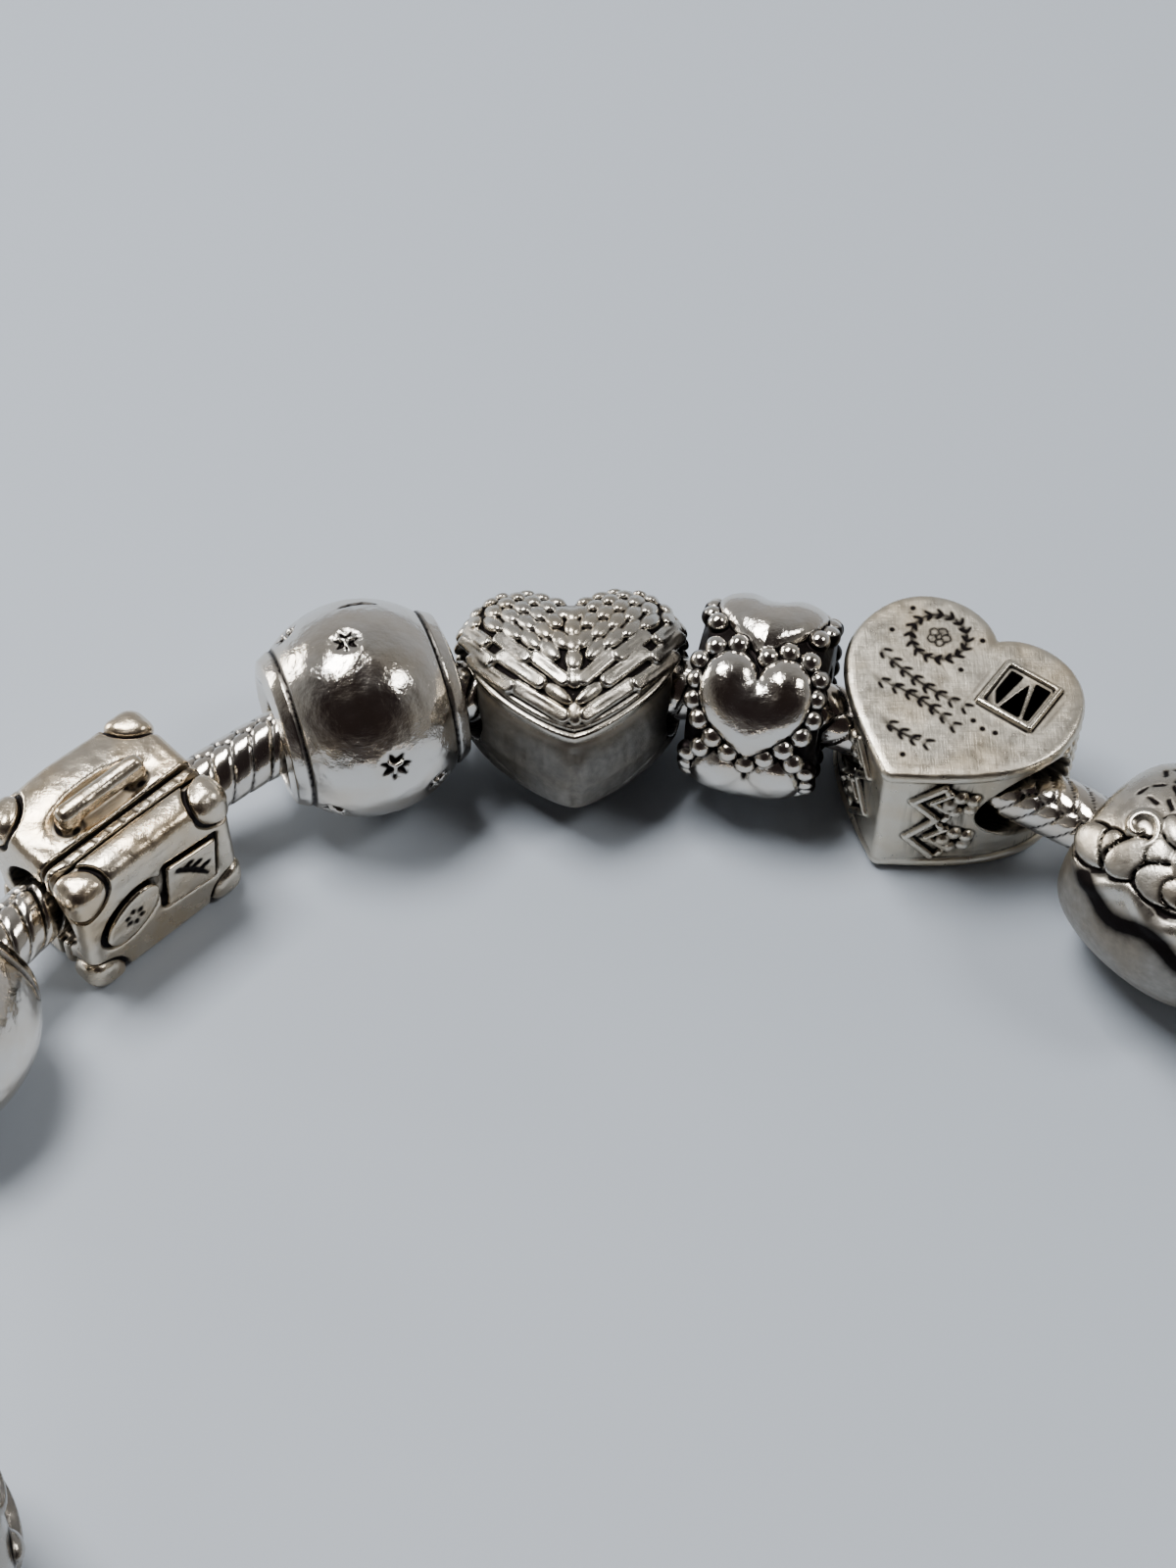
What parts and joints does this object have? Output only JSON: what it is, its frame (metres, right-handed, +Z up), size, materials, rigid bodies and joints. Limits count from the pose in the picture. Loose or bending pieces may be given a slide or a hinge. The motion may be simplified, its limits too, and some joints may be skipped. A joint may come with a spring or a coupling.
{
  "type": "charm bracelet",
  "caption": "Closed chain bracelet with a barrel clasp and cast charms strung along it, lying flat in its worn loop",
  "frame": {"origin": "Middle of the bracelet's footprint, on the surface that it lies on.", "axes": "+Z up from that surface; +X across the loop, its longer way; +Y from the clasp's side to the far side with the heart charms."},
  "size_m": [0.0712, 0.068, 0.0124],
  "materials": {
    "chain_silver": "polished silver plates with dark seams",
    "polished_silver": "polished, lightly dented, oxidised in the recesses",
    "cast_silver": "warm satin cast silver, dark in the recesses",
    "dark_silver": "darkened silver"
  },
  "bodies": {
    "root": {"snake_chain": "chain_silver", "barrel_clasp": "polished_silver", "suitcase_charm": "cast_silver", "star_ball_charm": "polished_silver", "winged_heart_charm": "cast_silver", "beaded_hearts_spacer": "polished_silver", "heart_box_charm": "cast_silver", "leaf_relief_charm": "cast_silver", "round_bead": "polished_silver", "petal_bead": "dark_silver", "dotted_spacer": "dark_silver"}
  },
  "joints": []
}
